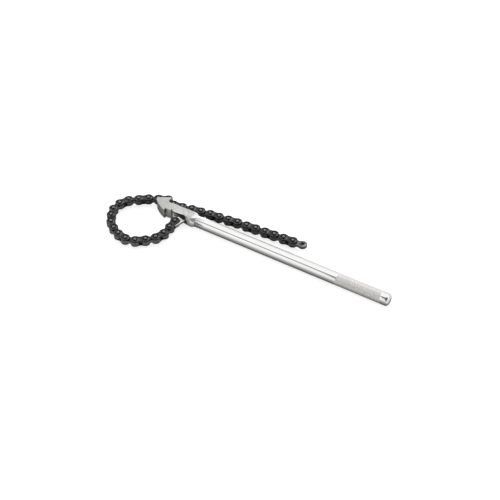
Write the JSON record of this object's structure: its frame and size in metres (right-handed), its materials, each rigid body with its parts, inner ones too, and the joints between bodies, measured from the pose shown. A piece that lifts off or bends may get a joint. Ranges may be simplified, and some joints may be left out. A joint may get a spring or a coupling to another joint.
{
  "type": "chain wrench",
  "caption": "Chain wrench with a round bar handle, a forged jaw head with a toothed face and a hook, and a riveted plate chain looped round to the hook.",
  "frame": {"origin": "on the head's flat underside, midway along the neck and 18.5 mm ahead of the shackle pin's axis", "axes": "+X along the handle towards its rounded end, +Y towards the hook side, +Z across the head's thickness"},
  "size_m": [0.4667, 0.1451, 0.019],
  "materials": {
    "forged_steel": "satin, linished faces",
    "polished_bar": "bright, with a matt knurled grip",
    "pin_steel": "ground flush",
    "shackle_steel": "bright",
    "black_oxide": "black oxide, lightly oiled",
    "bare_link_steel": "bare steel, worn"
  },
  "bodies": {
    "wrench": {"jaw_head": "forged_steel", "handle_bar": "polished_bar", "shackle_pin": "pin_steel"},
    "shackle": {"shackle_link": "shackle_steel"},
    "link_00": {"outer_link_00": "black_oxide"},
    "link_01": {"inner_link_01": "black_oxide"},
    "link_02": {"outer_link_02": "black_oxide"},
    "link_03": {"inner_link_03": "black_oxide"},
    "link_04": {"outer_link_04": "black_oxide"},
    "link_05": {"inner_link_05": "black_oxide"},
    "link_06": {"outer_link_06": "black_oxide"},
    "link_07": {"inner_link_07": "black_oxide"},
    "link_08": {"outer_link_08": "black_oxide"},
    "link_09": {"inner_link_09": "black_oxide"},
    "link_10": {"outer_link_10": "black_oxide"},
    "link_11": {"inner_link_11": "black_oxide"},
    "link_12": {"outer_link_12": "black_oxide"},
    "link_13": {"inner_link_13": "black_oxide"},
    "link_14": {"outer_link_14": "black_oxide"},
    "link_15": {"inner_link_15": "black_oxide"},
    "link_16": {"outer_link_16": "black_oxide"},
    "link_17": {"inner_link_17": "black_oxide"},
    "link_18": {"outer_link_18": "black_oxide"},
    "link_19": {"inner_link_19": "black_oxide"},
    "link_20": {"outer_link_20": "black_oxide"},
    "link_21": {"inner_link_21": "black_oxide"},
    "link_22": {"outer_link_22": "black_oxide"},
    "link_23": {"inner_link_23": "black_oxide"},
    "link_24": {"outer_link_24": "black_oxide"},
    "link_25": {"inner_link_25": "black_oxide"},
    "link_26": {"outer_link_26": "black_oxide"},
    "link_27": {"inner_link_27": "black_oxide"},
    "link_28": {"outer_link_28": "black_oxide"},
    "link_29": {"inner_link_29": "black_oxide"},
    "link_30": {"outer_link_30": "black_oxide"},
    "link_31": {"end_link_31": "bare_link_steel"}
  },
  "joints": [
    {"name": "shackle_swing", "type": "hinge", "parent": "wrench", "child": "shackle", "pos_m": [0.0185, 0, 0.009], "axis": [0, 0, 1], "range_deg": [0, 21]},
    {"name": "bend_00", "type": "hinge", "parent": "shackle", "child": "link_00", "pos_m": [0.01069, -0.02035, 0.009], "axis": [0, 0, -1], "range_deg": [-40, 0]},
    {"name": "bend_01", "type": "hinge", "parent": "link_00", "child": "link_01", "pos_m": [0.01166, -0.0362, 0.009], "axis": [0, 0, 1], "range_deg": [0, 40]},
    {"name": "bend_02", "type": "hinge", "parent": "link_01", "child": "link_02", "pos_m": [0.01236, -0.05206, 0.009], "axis": [0, 0, -1], "range_deg": [-40, 0]},
    {"name": "bend_03", "type": "hinge", "parent": "link_02", "child": "link_03", "pos_m": [0.0073, -0.0671, 0.009], "axis": [0, 0, 1], "range_deg": [0, 40]},
    {"name": "bend_04", "type": "hinge", "parent": "link_03", "child": "link_04", "pos_m": [-0.00308, -0.07912, 0.009], "axis": [0, 0, -1], "range_deg": [-40, 0]},
    {"name": "bend_05", "type": "hinge", "parent": "link_04", "child": "link_05", "pos_m": [-0.01558, -0.08891, 0.009], "axis": [0, 0, 1], "range_deg": [0, 40]},
    {"name": "bend_06", "type": "hinge", "parent": "link_05", "child": "link_06", "pos_m": [-0.03092, -0.09298, 0.009], "axis": [0, 0, -1], "range_deg": [-40, 2]},
    {"name": "bend_07", "type": "hinge", "parent": "link_06", "child": "link_07", "pos_m": [-0.04653, -0.09012, 0.009], "axis": [0, 0, 1], "range_deg": [-40, 40]},
    {"name": "bend_08", "type": "hinge", "parent": "link_07", "child": "link_08", "pos_m": [-0.06087, -0.08329, 0.009], "axis": [0, 0, -1], "range_deg": [-40, 40]},
    {"name": "bend_09", "type": "hinge", "parent": "link_08", "child": "link_09", "pos_m": [-0.07345, -0.07361, 0.009], "axis": [0, 0, 1], "range_deg": [-40, 40]},
    {"name": "bend_17", "type": "hinge", "parent": "wrench", "child": "link_17", "pos_m": [-0.0146, 0.0115, 0.009], "axis": [0, 0, 1], "range_deg": [-40, 0]},
    {"name": "bend_16", "type": "hinge", "parent": "link_17", "child": "link_16", "pos_m": [-0.02916, 0.01784, 0.009], "axis": [0, 0, -1], "range_deg": [0, 40]},
    {"name": "bend_15", "type": "hinge", "parent": "link_16", "child": "link_15", "pos_m": [-0.04354, 0.01111, 0.009], "axis": [0, 0, 1], "range_deg": [-40, 0]},
    {"name": "bend_14", "type": "hinge", "parent": "link_15", "child": "link_14", "pos_m": [-0.05755, 0.00366, 0.009], "axis": [0, 0, -1], "range_deg": [0, 40]},
    {"name": "bend_13", "type": "hinge", "parent": "link_14", "child": "link_13", "pos_m": [-0.07008, -0.0061, 0.009], "axis": [0, 0, 1], "range_deg": [-40, 1]},
    {"name": "bend_12", "type": "hinge", "parent": "link_13", "child": "link_12", "pos_m": [-0.08225, -0.01628, 0.009], "axis": [0, 0, -1], "range_deg": [-3, 40]},
    {"name": "bend_11", "type": "hinge", "parent": "link_12", "child": "link_11", "pos_m": [-0.0893, -0.03051, 0.009], "axis": [0, 0, 1], "range_deg": [-40, 40]},
    {"name": "bend_10", "type": "hinge", "parent": "link_11", "child": "link_10", "pos_m": [-0.08944, -0.04638, 0.009], "axis": [0, 0, -1], "range_deg": [-40, 40]},
    {"name": "bend_18", "type": "hinge", "parent": "wrench", "child": "link_18", "pos_m": [-0.0146, 0.0115, 0.009], "axis": [0, 0, 1], "range_deg": [0, 40]},
    {"name": "bend_19", "type": "hinge", "parent": "link_18", "child": "link_19", "pos_m": [0.00108, 0.01398, 0.009], "axis": [0, 0, -1], "range_deg": [-40, 1]},
    {"name": "bend_20", "type": "hinge", "parent": "link_19", "child": "link_20", "pos_m": [0.01648, 0.01782, 0.009], "axis": [0, 0, 1], "range_deg": [-3, 40]},
    {"name": "bend_21", "type": "hinge", "parent": "link_20", "child": "link_21", "pos_m": [0.03216, 0.02031, 0.009], "axis": [0, 0, -1], "range_deg": [-40, 5]},
    {"name": "bend_22", "type": "hinge", "parent": "link_21", "child": "link_22", "pos_m": [0.04784, 0.02279, 0.009], "axis": [0, 0, 1], "range_deg": [-6, 40]},
    {"name": "bend_23", "type": "hinge", "parent": "link_22", "child": "link_23", "pos_m": [0.06363, 0.02445, 0.009], "axis": [0, 0, -1], "range_deg": [-40, 7]},
    {"name": "bend_24", "type": "hinge", "parent": "link_23", "child": "link_24", "pos_m": [0.07939, 0.02638, 0.009], "axis": [0, 0, 1], "range_deg": [-8, 40]},
    {"name": "bend_25", "type": "hinge", "parent": "link_24", "child": "link_25", "pos_m": [0.09514, 0.02832, 0.009], "axis": [0, 0, -1], "range_deg": [-40, 9]},
    {"name": "bend_26", "type": "hinge", "parent": "link_25", "child": "link_26", "pos_m": [0.11098, 0.02943, 0.009], "axis": [0, 0, 1], "range_deg": [-11, 40]},
    {"name": "bend_27", "type": "hinge", "parent": "link_26", "child": "link_27", "pos_m": [0.12679, 0.03081, 0.009], "axis": [0, 0, -1], "range_deg": [-40, 14]},
    {"name": "bend_28", "type": "hinge", "parent": "link_27", "child": "link_28", "pos_m": [0.14263, 0.03192, 0.009], "axis": [0, 0, 1], "range_deg": [-18, 40]},
    {"name": "bend_29", "type": "hinge", "parent": "link_28", "child": "link_29", "pos_m": [0.15845, 0.0333, 0.009], "axis": [0, 0, -1], "range_deg": [-40, 24]},
    {"name": "bend_30", "type": "hinge", "parent": "link_29", "child": "link_30", "pos_m": [0.17428, 0.03441, 0.009], "axis": [0, 0, 1], "range_deg": [-38, 40]},
    {"name": "bend_31", "type": "hinge", "parent": "link_30", "child": "link_31", "pos_m": [0.19012, 0.03552, 0.009], "axis": [0, 0, -1], "range_deg": [-40, 40]}
  ]
}
